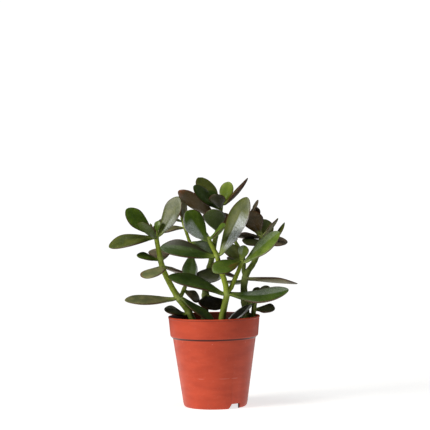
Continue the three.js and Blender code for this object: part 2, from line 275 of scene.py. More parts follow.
def outline(along):
    """Half the leaf's width along its length, as a share of its greatest half width."""
    foot = 0.2 * math.sqrt(math.sin(math.pi * along))
    paddle = 0.84 * math.sin(math.pi * along**1.6) ** 0.57
    return foot + paddle


def fullness(along):
    """The leaf's thickness along its length, as a share of its greatest thickness."""
    return math.sqrt(math.sin(math.pi * along**0.8))


# %% Leaf plans
class LeafPlan:
    """What a leaf's solid says about its shape."""

    def __init__(self, name):
        stem = stems[name.split("_leaf_")[0] + "_stem"]
        rings = read_rings(name)
        ends = [rings[0][0], rings[-1][0]]
        if nearest_on_axis(stem, ends[0])[0] > nearest_on_axis(stem, ends[1])[0]:
            ends.reverse()
        self.foot, self.tip = ends
        self.forward = (self.tip - self.foot).normalized()
        self.length = (self.tip - self.foot).length
        self.measure(rings[MIDDLE_RING])
        _, self.axis_point, self.stem_radius = nearest_on_axis(stem, self.foot)

    def measure(self, ring):
        pairs = [(a, b) for a in ring for b in ring]
        left, right = max(pairs, key=lambda pair: (pair[0] - pair[1]).length)
        self.across = (right - left).normalized()
        half_width = (right - left).length / 2
        centre = (left + right) / 2
        low, high = sorted(ring, key=lambda p: abs((p - centre).dot(self.across)))[:2]
        if (high - centre).length > (low - centre).length:
            low, high = high, low
        self.up = self.across.cross(self.forward).normalized()
        if self.up.dot(high - low) < 0:
            self.across = -self.across
            self.up = -self.up
        heart = low.lerp(high, 1 - TOP_SHARE)
        self.half_width = half_width / outline(0.5)
        self.thickness = (high - low).length / fullness(0.5)
        self.cup = (centre - heart).dot(self.up) / (half_width * outline(0.5))
        self.bow = (heart - (self.foot + self.tip) / 2).dot(self.up)


leaf_names = [n for n in cad_nodes if "_leaf_" in n]
plans = {n: LeafPlan(n) for n in leaf_names}
longest = max(plans.values(), key=lambda plan: plan.length)
print(f"{len(plans)} leaves, the longest {longest.length / MM:.0f} mm")

# %% [markdown]
# ## Camera, floor and light
#
# A small object looks natural through a long lens from a couple of metres away. The light is
# a large soft box at the left, a weaker one overhead and a rim light behind, over a pale floor.

# %% Camera
CAMERA_PLACE = Vector((0.0035, -2.2, 0.310))
CAMERA_DIP = math.radians(1.57)
CAMERA_ROLL = math.radians(-0.95)
SENSOR_WIDTH = 36.0
LENS = 141.03

scene = bpy.context.scene
camera_data = bpy.data.cameras.new("camera")
camera_data.sensor_width = SENSOR_WIDTH
camera_data.lens = LENS
camera = bpy.data.objects.new("camera", camera_data)
tilt = Matrix.Rotation(math.pi / 2 - CAMERA_DIP, 4, "X") @ Matrix.Rotation(CAMERA_ROLL, 4, "Z")
camera.matrix_world = Matrix.Translation(CAMERA_PLACE) @ tilt
scene.collection.objects.link(camera)
scene.camera = camera

# %% Floor and surroundings
FLOOR_SIZE = 0.9
FLOOR_GLOW = 0.74
BACKDROP = 1.05
AMBIENT = 0.06


def floor_look(sheet, where):
    return {"Base Color": colour("c4c4c4"), "Emission Color": colour("ffffff")}


def make_floor():
    sheet = bmesh.new()
    bmesh.ops.create_grid(sheet, x_segments=1, y_segments=1, size=FLOOR_SIZE / 2)
    mesh = bpy.data.meshes.new("floor")
    sheet.to_mesh(mesh)
    sheet.free()
    glow = {"Emission Strength": FLOOR_GLOW, "Roughness": 0.9}
    mesh.materials.append(new_finish("floor_paper", floor_look, **glow))
    floor = bpy.data.objects.new("floor", mesh)
    scene.collection.objects.link(floor)


def light_surroundings():
    """A white backdrop for the camera, which lights the plant only faintly."""
    world = bpy.data.worlds.new("studio")
    scene.world = world
    world.use_nodes = True
    world.node_tree.nodes.clear()
    air = Sheet(world.node_tree)
    seen = air.node("ShaderNodeLightPath", None, None, "Is Camera Ray")
    strength = AMBIENT + (BACKDROP - AMBIENT) * seen
    values = {"Color": colour("ffffff"), "Strength": strength}
    glow = air.node("ShaderNodeBackground", None, values)
    air.node("ShaderNodeOutputWorld", None, {"Surface": glow})


make_floor()
light_surroundings()

# %% Lights
def soft_box(name, place, aim, size, power, tint):
    """A square light that faces a point of the plant."""
    data = bpy.data.lights.new(name, "AREA")
    data.shape = "SQUARE"
    data.size = size
    data.energy = power
    data.color = colour(tint)[:3]
    light = bpy.data.objects.new(name, data)
    facing = (Vector(aim) - Vector(place)).to_track_quat("-Z", "Y")
    light.matrix_world = Matrix.Translation(place) @ facing.to_matrix().to_4x4()
    scene.collection.objects.link(light)


PLANT_MIDDLE = (0, 0, 0.17)
soft_box("key_box", (-1.75, -1.05, 1.05), PLANT_MIDDLE, 0.9, 40, "fffaf0")
soft_box("top_box", (-0.25, -0.35, 1.75), PLANT_MIDDLE, 0.8, 12, "fbfaf6")
soft_box("rim_box", (1.3, 1.2, 0.7), PLANT_MIDDLE, 0.7, 2, "ffffff")
scene.view_settings.view_transform = "Standard"
print("studio ready")

# %% [markdown]
# ## Leaf finishes
#
# A jade leaf is glossy and deep green, with a mottled skin, tiny pale dots, a paler and greyer
# underside, and a thin red-brown rim. Patches on single leaves hold painted highlights, partly a
# real waxy bloom, and painted shade; the grey sheen finish is a painted reflection.
# Each mesh carries what the finish needs: how far along the leaf a point is, how far across,
# and whether it lies underneath, so that the same few lines colour every leaf.

# %% The skin of a leaf
RIM_COLOUR = colour("502e26")
# Pale tone of the real leaf dots, also used for the painted highlights and the waxy bloom
PALE_DOT_AND_HIGHLIGHT_COLOUR = colour("d8e0e4")
FOOT_COLOUR = colour("8ea24c")
SHADE_AND_BROWN_PATCH = colour("2a1f1b")
BLUSH = colour("8a4a22")
DEEP_TINT = (0.62, 0.7, 0.6, 1)
PALE_TINT = (1.3, 1.22, 1.1, 1)


def leaf_skin(top, under):
    def build(sheet, where):
        along = sheet.attribute("along")
        edge = sheet.math("ABSOLUTE", sheet.attribute("across"))
        below = sheet.attribute("under")
        patchy = sheet.noise(where, 75, 3, 0.6)
        mottle = sheet.noise(where, 420, 3, 0.65)
        wrinkles = sheet.noise(where, 850, 3, 0.7, 1.5)
        dots = sheet.step(sheet.cells(where, 800), 0.1, 0.28, 1.0, 0.0)
        deep = sheet.blend(1.0, top, DEEP_TINT, "MULTIPLY")
        pale = sheet.blend(1.0, top, PALE_TINT, "MULTIPLY")
        shade = sheet.blend(sheet.step(patchy, 0.3, 0.7), deep, pale)
        shade = sheet.blend(sheet.step(mottle, 0.45, 0.7, 0.0, 0.5), shade, deep)
        shade = sheet.blend(sheet.step(along, 0.2, 0.02, 0.0, 0.75), shade, FOOT_COLOUR)
        grey = sheet.blend(sheet.step(patchy, 0.35, 0.7, 0.0, 0.5), under, top)
        shade = sheet.blend(below * 0.6, shade, grey)
        shade = sheet.blend(dots * 0.16, shade, PALE_DOT_AND_HIGHLIGHT_COLOUR)
        # Dark patches: painted shade on front_leaf_3's top face, a real brown tip on right_leaf_2
        shade = sheet.blend(sheet.attribute("dark") * 0.85, shade, SHADE_AND_BROWN_PATCH)
        shade = sheet.blend(sheet.attribute("blush") * sheet.step(mottle, 0.3, 0.6), shade, BLUSH)
        rim = sheet.step(edge + 0.05 * mottle, 0.88, 0.99) * sheet.step(along, 0.15, 0.35)
        shade = sheet.blend(rim * 0.8, shade, RIM_COLOUR)
        # Painted highlight: the bloom patches lay a pale wrinkled film where the key light's reflection
        # falls, partly a real waxy bloom
        bloom_and_highlight = sheet.attribute("bloom_and_highlight")
        highlight_film = bloom_and_highlight * sheet.step(wrinkles, 0.4, 0.6, 0.15, 1.0)
        shade = sheet.blend(highlight_film * 0.9, shade, PALE_DOT_AND_HIGHLIGHT_COLOUR)
        relief = mottle * 0.5 + wrinkles * (0.3 + bloom_and_highlight * 1.2)
        return {
            "Base Color": shade,
            "Roughness": sheet.clamp(0.24 + 0.18 * mottle + 0.2 * highlight_film + 0.1 * below),
            "Normal": bumps(sheet, relief, 0.00025, 0.6),
        }

    return build


# Top colour, underside colour, and the slot that each finish fills.
LEAF_FINISHES = {
    "green": ("567020", "64753a", "leaf_green"),
    "deep": ("3c521a", "566034", "leaf_green"),
    "bright": ("6c8432", "7c8e4a", "leaf_green"),
    "olive": ("525b24", "666a40", "leaf_olive"),
    "wan": ("716d4e", "7f795e", "leaf_olive"),
    # Painted reflection: a grey top and underside stand for the sheen of leaves seen at a grazing angle
    "silvery": ("7a7c58", "8d8a74", "leaf_olive"),
    "dark": ("33381a", "4f4b38", "leaf_dark"),
    "black": ("221d13", "383127", "leaf_dark"),
    "bronze": ("45361b", "4f442c", "leaf_bronze"),
    "dusky": ("7e7260", "887a6a", "leaf_bronze"),
    "young": ("768b2e", "8a9b4c", "leaf_young"),
}
leaf_materials = {}
for look, (top, under, slot) in LEAF_FINISHES.items():
    build = leaf_skin(colour(top), colour(under))
    leaf_materials[look] = new_finish("leaf_" + look, build, **{"Specular IOR Level": 0.28})
print(f"{len(leaf_materials)} leaf finishes")

# %% Which leaf has which finish
LEAF_LOOKS = {
    "left": "dark deep silvery silvery dusky dusky green olive olive green deep",
    "inner": "dusky deep deep wan wan",
    "centre": "black dark dark deep bronze deep olive dark young bronze",
    "front": "deep deep deep olive green green",
    "fork": "green dark bright olive young",
    "right": "dark wan green dusky dark dusky olive silvery bronze",
    "back": "bronze",
    "short": "dark black dark",
}
looks = {
    f"{stem}_leaf_{i + 1}": look
    for stem, row in LEAF_LOOKS.items()
    for i, look in enumerate(row.split())
}

# %% Patches on single leaves
UP = Vector((0, 0, 1))
DOWN = -UP
RIGHT = Vector((1, 0, 0))
LEFT = -RIGHT

# What lies on a leaf, the side that it lies towards, how far from the midrib it begins, where
# it starts and ends along the leaf, and how strong it is.
# Bloom patches are mostly painted highlights, partly a real mottled grey bloom
PATCHES = {
    # Painted shade on the upper half of the top face
    "front_leaf_3": [("dark", UP, 0.3, 0.05, 0.97, 0.9)],
    "front_leaf_2": [("bloom_and_highlight", UP, 0.0, 0.2, 1.0, 0.3)],
    "fork_leaf_3": [("bloom_and_highlight", UP, 0.0, 0.2, 1.0, 0.25)],
    "front_leaf_4": [("bloom_and_highlight", RIGHT, 0.0, 0.08, 0.78, 1.0)],
    "front_leaf_5": [("bloom_and_highlight", LEFT, 0.05, 0.08, 0.8, 1.0), ("bloom_and_highlight", LEFT, 0.75, 0.5, 1.0, 0.8)],
    "left_leaf_9": [("bloom_and_highlight", RIGHT, 0.25, 0.08, 0.62, 0.5), ("bloom_and_highlight", LEFT, 0.8, 0.3, 0.9, 0.3)],
    "inner_leaf_2": [("bloom_and_highlight", RIGHT, 0.72, 0.1, 0.95, 1.0)],
    "centre_leaf_2": [("bloom_and_highlight", DOWN, 0.75, 0.3, 0.95, 1.0)],
    "centre_leaf_4": [("bloom_and_highlight", UP, 0.8, 0.5, 1.0, 0.5)],
    "centre_leaf_5": [("blush", UP, 0.0, 0.86, 1.0, 0.6), ("blush", DOWN, 0.0, 0.86, 1.0, 0.6)],
    "short_leaf_2": [("bloom_and_highlight", DOWN, 0.6, 0.1, 0.95, 1.0), ("bloom_and_highlight", RIGHT, 0.7, 0.1, 0.95, 1.0)],
    "fork_leaf_5": [("bloom_and_highlight", UP, 0.0, 0.3, 1.0, 0.4)],
    "fork_leaf_1": [("blush", DOWN, 0.1, 0.1, 0.6, 0.5)],
    "left_leaf_4": [("blush", DOWN, 0.7, 0.3, 1.0, 0.6)],
    "left_leaf_1": [("bloom_and_highlight", LEFT, 0.1, 0.4, 1.0, 0.6)],
    "right_leaf_2": [("dark", UP, 0.0, 0.8, 1.0, 0.7), ("dark", DOWN, 0.0, 0.8, 1.0, 0.7)],
    "right_leaf_6": [("dark", UP, 0.0, 0.0, 0.95, 0.75)],
    "inner_leaf_3": [("blush", DOWN, 0.75, 0.2, 1.0, 0.4)],
}

# %% [markdown]
# ## Growing a leaf
#
# The leaf is a skin of many rings along a bowed spine. It begins inside the stem, where real
# leaves clasp it, swings out and follows the plan to the tip. A little seeded unevenness in
# its rims keeps fifty leaves from looking like copies.

# %% Leaf surface
LEAF_STATIONS = 46
LEAF_AROUND = 40
FOOT_END = 0.14
FOOT_STATIONS = 7


def hermite(a, slope_a, b, slope_b, t):
    """A smooth path from a to b that leaves and arrives along the two slopes."""
    return (
        a * (2 * t**3 - 3 * t**2 + 1)
        + slope_a * (t**3 - 2 * t**2 + t)
        + b * (3 * t**2 - 2 * t**3)
        + slope_b * (t**3 - t**2)
    )


def leaf_spine(plan):
    """The stations of a leaf, as (share along the leaf, point) pairs."""
    def on_leaf(along):
        straight = plan.foot.lerp(plan.tip, along)
        return straight + plan.up * plan.bow * 4 * along * (1 - along)

    root = plan.foot.lerp(plan.axis_point, 0.55)
    arrival = on_leaf(FOOT_END)
    reach = (arrival - root).length
    outward = (plan.foot - plan.axis_point).normalized() * reach
    onward = (on_leaf(FOOT_END + 0.01) - on_leaf(FOOT_END - 0.01)).normalized() * reach
    stations = []
    for i in range(FOOT_STATIONS):
        t = i / FOOT_STATIONS
        stations.append((FOOT_END * t, hermite(root, outward, arrival, onward, t)))
    for i in range(LEAF_STATIONS):
        turn = math.pi * (0.25 + 0.75 * i / LEAF_STATIONS)
        share = (math.cos(math.pi * 0.25) - math.cos(turn)) / (math.cos(math.pi * 0.25) + 1)
        along = FOOT_END + (1 - FOOT_END) * share
        stations.append((along, on_leaf(along)))
    stations.append((1.0, plan.tip))
    return stations


def leaf_section(plan, along, angle, quirk):
    """One point of a leaf's section: how far across it lies, and how high."""
    neck = min(0.85 * plan.stem_radius, 0.32 * plan.half_width)
    fade = (1 - along) ** 5
    blade = plan.half_width * outline(min(max(along, 0.0), 1.0)) if along < 1 else 0.0
    half = math.hypot(blade, neck * fade)
    body = plan.thickness * fullness(along) if along < 1 else 0.0
    thick = math.hypot(body, 1.35 * neck * fade)
    across = math.cos(angle)
    rise = math.sin(angle)
    lean = 1 + quirk["lean"] * (1 if across > 0 else -1) * abs(across)
    wave = 1 + 0.018 * math.sin(2 * math.pi * (2.1 * along + quirk["wave"] + 0.4 * across))
    share = TOP_SHARE if rise > 0 else 1 - TOP_SHARE
    height = share * thick * math.copysign(abs(rise) ** 1.15, rise)
    groove = math.exp(-((across / 0.3) ** 2)) * (1 - along) ** 2
    if rise > 0:
        height -= 0.22 * thick * groove
    height += plan.cup * blade * outline(along) * abs(across) ** 1.7 if along < 1 else 0.0
    height += 0.0004 * quirk["ripple"] * abs(across) ** 2 * math.sin(9 * along + 6 * quirk["wave"])
    return half * across * lean * wave, height


# %% Leaf mesh
LAYERS = ("along", "across", "under", "bloom_and_highlight", "dark", "blush")


def ramp(value, start, width):
    """Goes from 0 to 1 as the value passes from start to start + width."""
    return min(max((value - start) / width, 0.0), 1.0)


def patch_share(patches, kind, plan, along, across):
    """How strongly one kind of patch lies on one point of a leaf."""
    share = 0.0
    for patch_kind, side, inner, start, end, strength in patches:
        if patch_kind != kind:
            continue
        toward = math.copysign(across, across * plan.across.dot(side))
        lengthways = ramp(along, start, 0.1) * (1.0 if end == 1.0 else ramp(end - along, 0.0, 0.15))
        share = max(share, strength * ramp(toward, inner, 0.16) * lengthways)
    return share


def in_box(place):
    """The place itself, or the nearest one inside the frame's box."""
    return Vector([min(max(v, low), high) for v, low, high in zip(place, cad_low, cad_high)])


def add_leaf(skin, plan, rng, patches=()):
    """Adds a leaf's surface to a bmesh, with what its finish reads on each corner."""
    floats = skin.verts.layers.float
    layers = {key: floats.get(key) or floats.new(key) for key in LAYERS}
    quirk = {"lean": rng.uniform(-0.05, 0.05), "wave": rng.random(), "ripple": rng.uniform(0.5, 1.5)}
    stations = leaf_spine(plan)
    rings = []
    for i, (along, point) in enumerate(stations):
        after = stations[min(i + 1, len(stations) - 1)][1]
        before = stations[max(i - 1, 0)][1]
        tangent = (after - before).normalized()
        across_way = (plan.across - tangent * plan.across.dot(tangent)).normalized()
        up_way = across_way.cross(tangent)
        last = i == len(stations) - 1
        ring = []
        for j in range(1 if last else LEAF_AROUND):
            angle = 2 * math.pi * j / LEAF_AROUND
            sideways, height = (0.0, 0.0) if last else leaf_section(plan, along, angle, quirk)
            corner = skin.verts.new(in_box(point + across_way * sideways + up_way * height))
            across = 0.0 if last else math.cos(angle)
            corner[layers["along"]] = along
            corner[layers["across"]] = across
            corner[layers["under"]] = 0.5 - 0.5 * max(-1.0, min(1.0, 6 * math.sin(angle)))
            for kind in ("bloom_and_highlight", "dark", "blush"):
                corner[layers[kind]] = patch_share(patches, kind, plan, along, across)
            ring.append(corner)
        rings.append(ring)
    for lower, upper in zip(rings, rings[1:]):
        for j in range(LEAF_AROUND):
            k = (j + 1) % LEAF_AROUND
            if len(upper) == 1:
                skin.faces.new((lower[j], upper[0], lower[k]))
            else:
                skin.faces.new((lower[j], upper[j], upper[k], lower[k]))
    skin.faces.new(rings[0])


def finished(name, skin, material, replaced=()):
    """A closed smooth mesh as a piece of the plant."""
    bmesh.ops.recalc_face_normals(skin, faces=skin.faces)
    mesh = bpy.data.meshes.new(name)
    skin.to_mesh(mesh)
    skin.free()
    mesh.shade_smooth()
    mesh.materials.append(material)
    piece = bpy.data.objects.new(name, mesh)
    scene.collection.objects.link(piece)
    settle(piece, replaced)
    return piece


def settle(piece, replaced=()):
    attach(piece, "root")
    if replaced:
        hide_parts(*replaced)


# %% Grow every leaf
LEAF_SEED = 11
for number, name in enumerate(leaf_names):
    skin = bmesh.new()
    add_leaf(skin, plans[name], random.Random(LEAF_SEED + number), PATCHES.get(name, ()))
    look = looks[name]
    finished(name + "_blade", skin, leaf_materials[look], [name])
print(f"{len(leaf_names)} leaves grown")

# %% [markdown]
# ## Young leaves
#
# Every shoot ends in a pair of small leaves still folded together, and a few half-grown ones
# stand just below. They are too small to matter to the plant's weight, so they have no solids
# of their own. A short plan says where each one starts and ends.

# %% Young leaves at the tips
class YoungLeaf:
    """A small leaf, planned from its foot to its tip."""

    def __init__(self, stem, foot, tip, half_width, facing, bow=0.03):
        self.foot = foot
        self.tip = tip
        self.forward = (tip - foot).normalized()
        self.length = (tip - foot).length
        self.across = self.forward.cross(facing).normalized()
        self.up = self.across.cross(self.forward).normalized()
        self.half_width = half_width
        self.thickness = 0.45 * half_width + 0.0012
        self.cup = 0.15
        self.bow = bow * self.length
        _, self.axis_point, self.stem_radius = nearest_on_axis(stem, foot)


# Half-grown leaves: foot and tip in millimetres, half width, where the top faces, how far the
# leaf bows towards its top as a share of its length, and its finish.
HALF_GROWN = {
    "left": [
        ((-73, -22, 229), (-69, -24, 244), 4.6, (-0.4, -1, 0.1), 0.05, "green"),
        ((-77, -22, 230), (-80, -24, 241), 1.8, (-0.6, -1, 0.2), 0.05, "bright"),
        ((-76, -16, 234), (-63, -12, 247), 3.0, (0.1, -0.1, 1), 0.1, "dark"),
    ],
    "inner": [((-39, 20, 241), (-53, 16, 244), 3.5, (0, -0.3, 1), 0.05, "deep")],
    "centre": [((8, 10, 268), (-5, 4, 281), 5.0, (0.2, -0.9, 0.5), 0.1, "deep")],
    "right": [
        ((53, 25, 249), (61, 22, 268), 5.0, (-0.75, -0.35, 0.4), 0.04, "dusky"),
        ((52, 28, 241), (60, 30, 258), 6.5, (0, -1, 0.2), 0.05, "bronze"),
        ((66, 22, 210), (95, 18, 238), 4.8, (-0.6, -0.55, 0.6), -0.16, "olive"),
    ],
}


def grow_young(shoot, rows):
    for number, (foot, tip, half_width, facing, bow, look) in enumerate(rows):
        ends = [Vector(place) * MM for place in (foot, tip)]
        plan = YoungLeaf(stems[shoot + "_stem"], *ends, half_width * MM, Vector(facing), bow)
        skin = bmesh.new()
        add_leaf(skin, plan, random.Random(len(shoot) + number))
        name = f"{shoot}_young_leaf_{number + 1}"
        finished(name, skin, leaf_materials[look])


for shoot, rows in HALF_GROWN.items():
    grow_young(shoot, rows)

# %% Folded buds
BUD_LENGTH = 0.007
BUD_HALF_WIDTH = 0.0017


def grow_bud(stem_name):
    """A pair of tiny leaves that close over a stem's tip."""
    axis = stems[stem_name]
    tip, radius = axis[-1]
    onward = (tip - axis[-2][0]).normalized()
    side = onward.cross(Vector((0.3, -1, 0.2))).normalized()
    skin = bmesh.new()
    for way in (-1, 1):
        foot = tip + side * way * 0.45 * radius - onward * 0.3 * radius
        end = tip + onward * BUD_LENGTH + side * way * 0.5 * radius
        plan = YoungLeaf(axis, foot, end, BUD_HALF_WIDTH, -side * way)
        add_leaf(skin, plan, random.Random(3 + way))
    name = stem_name.replace("_stem", "_bud")
    finished(name, skin, leaf_materials["bright"])


for stem_name in stem_names:
    grow_bud(stem_name)
print(f"{len(HALF_GROWN)} shoots with young leaves, {len(stem_names)} buds")

# %% [markdown]
# ## Stems
#
# A young jade stem is juicy and yellow-green. With age it turns dull green and brownish at the
# foot, thickens where leaves sit, and keeps a thin ring scar where each old pair fell. Its darker
# colour towards the foot, and the darker skin of the older stems, are also painted shade from the
# leaves above. A stem follows a rule, so Geometry Nodes grow it: a profile is swept along the
# axis with a thickness stored on the axis points, and the skin is roughened. The ring scars
# repeat along the same axis, so a second tree places them.

# %% Stem finish
def stem_skin(young, old_and_shaded):
    def build(sheet, where):
        age_and_shade = sheet.attribute("age_and_shade")
        knot = sheet.attribute("knot")
        streaks = sheet.noise(sheet.stretched(where, (1, 1, 0.12)), 1300, 3, 0.6)
        patchy = sheet.noise(where, 130, 3, 0.6)
        specks = sheet.step(sheet.cells(where, 620), 0.1, 0.26, 1.0, 0.0)
        # Darker towards the foot, partly for age and partly as painted shade under the leaves above
        shade = sheet.blend(sheet.step(age_and_shade + 0.35 * (patchy - 0.5), 0.35, 0.95), young, old_and_shaded)
        shade = sheet.blend(sheet.step(streaks, 0.45, 0.75, 0.0, 0.35), shade, colour("4e5a22"))
        shade = sheet.blend(specks * sheet.step(age_and_shade, 0.2, 0.7, 0.15, 0.4), shade, colour("c4cf96"))
        shade = sheet.blend(knot * 0.4, shade, colour("b9c97a"))
        return {
            "Base Color": shade,
            "Roughness": sheet.clamp(0.36 + 0.25 * streaks + 0.15 * age_and_shade),
            "Normal": bumps(sheet, streaks + 0.8 * specks, 0.0003, 0.6),
        }

    return build


def scar_skin(sheet, where):
    grain = sheet.noise(where, 900, 3, 0.6)
    return {
        "Base Color": sheet.blend(grain, colour("6f6a35"), colour("93914f")),
        "Roughness": sheet.clamp(0.5 + 0.3 * grain),
        "Normal": bumps(sheet, grain, 0.0002, 0.5),
    }


STEM_GLOSS = {"Specular IOR Level": 0.3}
young_skin = stem_skin(colour("93a632"), colour("53692a"))
old_shaded_skin = stem_skin(colour("788b34"), colour("47532a"))
YOUNG_STEM = new_finish("stem_young_skin", young_skin, **STEM_GLOSS)
OLD_SHADED_STEM = new_finish("stem_old_skin", old_shaded_skin, **STEM_GLOSS)
SCAR = new_finish("leaf_scar", scar_skin)
# These stems take the darker old skin, partly for age and partly as painted shade
OLD_SHADED_STEMS = ("centre_stem", "right_stem", "back_stem", "short_stem")


# %% A tree's named inputs
def new_tree(name, inputs):
    """A Geometry Nodes tree with named inputs, and the signals that they give."""
    tree = bpy.data.node_groups.new(name, "GeometryNodeTree")
    tree.interface.new_socket("Geometry", in_out="OUTPUT", socket_type="NodeSocketGeometry")
    tree.interface.new_socket("Geometry", in_out="INPUT", socket_type="NodeSocketGeometry")
    for key, kind in inputs.items():
        tree.interface.new_socket(key, in_out="INPUT", socket_type="NodeSocket" + kind)
    sheet = Sheet(tree)
    entry = sheet.node("NodeGroupInput")
    return sheet, {key: entry.also(key) for key in ("Geometry", *inputs)}


def close_tree(sheet, geometry, material):
    """Ends a tree: instances become real, and everything takes the material."""
    real = sheet.node("GeometryNodeRealizeInstances", None, {"Geometry": geometry})
    dressed = sheet.node("GeometryNodeSetMaterial", None, {"Geometry": real, "Material": material})
    sheet.node("NodeGroupOutput", None, {"Geometry": dressed})
    return sheet.tree


def run_tree(name, mesh, tree, settings):
    """A plain mesh piece: what the tree makes from a mesh, with the modifier gone."""
    carrier = bpy.data.objects.new(name, mesh)
    scene.collection.objects.link(carrier)
    modifier = carrier.modifiers.new("grow", "NODES")
    modifier.node_group = tree
    for item in tree.interface.items_tree:
        if item.item_type == "SOCKET" and item.in_out == "INPUT" and item.name in settings:
            modifier[item.identifier] = settings[item.name]
    evaluated = carrier.evaluated_get(bpy.context.evaluated_depsgraph_get())
    grown = bpy.data.meshes.new_from_object(evaluated)
    carrier.modifiers.remove(modifier)
    carrier.data = grown
    carrier.data.name = name
    return carrier


def named(sheet, name):
    """A number stored on the points that the tree works on."""
    settings = {"data_type": "FLOAT"}
    return sheet.node("GeometryNodeInputNamedAttribute", settings, {"Name": name}, "Attribute")


def smooth_line(sheet, mesh):
    """A smooth curve through the points of a line mesh."""
    line = sheet.node("GeometryNodeMeshToCurve", None, {"Mesh": mesh})
    settings = {"spline_type": "CATMULL_ROM"}
    return sheet.node("GeometryNodeCurveSplineType", settings, {"Curve": line})


def circle(sheet, sides, radius):
    values = {"Resolution": sides, "Radius": radius}
    return sheet.node("GeometryNodeCurvePrimitiveCircle", None, values)


def evenly(sheet, number):
    """A vector with the same number along X, Y and Z."""
    return sheet.node("ShaderNodeCombineXYZ", None, {"X": number, "Y": number, "Z": number})


def vector_math(sheet, operation, values):
    return sheet.node("ShaderNodeVectorMath", {"operation": operation}, values)


# %% The stem tree
def stem_tree():
    inputs = {"Step": "Float", "Sides": "Int", "Roughening": "Float", "Grain": "Float"}
    sheet, given = new_tree("grown_stem", {**inputs, "Finish": "Material"})
    values = {"Curve": smooth_line(sheet, given["Geometry"]), "Length": given["Step"]}
    fine = sheet.node("GeometryNodeResampleCurve", {"mode": "LENGTH"}, values)
    profile = circle(sheet, given["Sides"], 1.0)
    values = {"Curve": fine, "Profile Curve": profile, "Scale": named(sheet, "thickness")}
    tube = sheet.node("GeometryNodeCurveToMesh", None, {**values, "Fill Caps": True})
    place = sheet.node("GeometryNodeInputPosition")
    normal = sheet.node("GeometryNodeInputNormal")
    grain = sheet.noise(place, given["Grain"], 2, 0.5) - 0.5
    amount = grain * given["Roughening"] * named(sheet, "thickness")
    offset = vector_math(sheet, "SCALE", {"Vector": normal, "Scale": amount})
    rough = sheet.node("GeometryNodeSetPosition", None, {"Geometry": tube, "Offset": offset})
    smooth_shaded = sheet.node("GeometryNodeSetShadeSmooth", None, {"Geometry": rough})
    return close_tree(sheet, smooth_shaded, given["Finish"])


# %% The scar tree
def scar_tree():
    inputs = {"Spacing": "Float", "Thickness": "Float", "Seed": "Int", "Finish": "Material"}
    sheet, given = new_tree("leaf_scars", inputs)
    values = {"Curve": smooth_line(sheet, given["Geometry"]), "Length": given["Spacing"]}
    points = sheet.node("GeometryNodeCurveToPoints", {"mode": "LENGTH"}, values)
    hoop = circle(sheet, 28, 1.0)
    profile = circle(sheet, 6, given["Thickness"])
    values = {"Curve": hoop, "Profile Curve": profile, "Scale": 1.0}
    ring = sheet.node("GeometryNodeCurveToMesh", None, values)
    settings = {"data_type": "FLOAT_VECTOR"}
    values = {"Min": (-0.14, -0.14, 0), "Max": (0.14, 0.14, 1.5), "Seed": given["Seed"]}
    wobble = sheet.node("FunctionNodeRandomValue", settings, values, "Value")
    turned = sheet.node("FunctionNodeEulerToRotation", None, {"Euler": wobble})
    settings = {"rotation_space": "LOCAL"}
    values = {"Rotation": points.also("Rotation"), "Rotate By": turned}
    along = sheet.node("FunctionNodeRotateRotation", settings, values)
    size = evenly(sheet, named(sheet, "thickness") * 1.01)
    values = {"Points": points, "Instance": ring, "Rotation": along, "Scale": size}
    rings = sheet.node("GeometryNodeInstanceOnPoints", None, values)
    return close_tree(sheet, rings, given["Finish"])


# %% A stem's axis with its thickness, knots and age
AXIS_STEP = 0.002


def dense_axis(axis):
    """An axis with points about every AXIS_STEP."""
    points = []
    for (a, radius_a), (b, radius_b) in zip(axis, axis[1:]):
        count = max(1, round((b - a).length / AXIS_STEP))
        for i in range(count):
            t = i / count
            points.append((a.lerp(b, t), radius_a + (radius_b - radius_a) * t))
    points.append(axis[-1])
    return points


BRANCH_RUN = 0.008
BRANCH_FOOT = 0.11


def parent_point(stem_name):
    """Where a side branch leaves its parent's axis, or None for a stem that stands in soil."""
    foot = stems[stem_name][0][0]
    if foot.z < BRANCH_FOOT:
        return None
    back = foot - (stems[stem_name][1][0] - foot).normalized() * BRANCH_RUN
    found = [nearest_on_axis(axis, back) for other, axis in stems.items() if other != stem_name]
    return min(found, key=lambda item: item[0])[1]


def axis_mesh(stem_name):
    """The axis as a line mesh whose points carry what the trees and the finish read."""
    axis = list(stems[stem_name])
    joint = parent_point(stem_name)
    if joint:
        axis.insert(0, (joint, axis[0][1] * 1.1))
    points = dense_axis(axis)
    tip, radius = points[-1]
    onward = (tip - points[-3][0]).normalized()
    points.append((tip + onward * 0.5 * radius, radius * 0.8))
    points.append((tip + onward * 0.9 * radius, radius * 0.3))
    feet = [p for p in plans.items() if p[0].startswith(stem_name.replace("_stem", "_leaf_"))]
    mesh = bpy.data.meshes.new(stem_name)
    mesh.from_pydata([p for p, r in points], [(i, i + 1) for i in range(len(points) - 1)], [])
    top = max(p.z for p, r in points)
    values = {"thickness": [], "knot": [], "age_and_shade": []}
    for place, girth in points:
        near = min(((plan.axis_point - place).length for key, plan in feet), default=1.0)
        knot = math.exp(-((near / 0.0035) ** 2))
        values["thickness"].append(girth * (1 + 0.16 * knot))
        values["knot"].append(knot)
        # Rises from the tip downwards; the finish darkens with it for age and for painted shade
        values["age_and_shade"].append(min(max((top - place.z) / 0.16, 0.0), 1.0))
    for key, column in values.items():
        mesh.attributes.new(key, "FLOAT", "POINT").data.foreach_set("value", column)
    return mesh


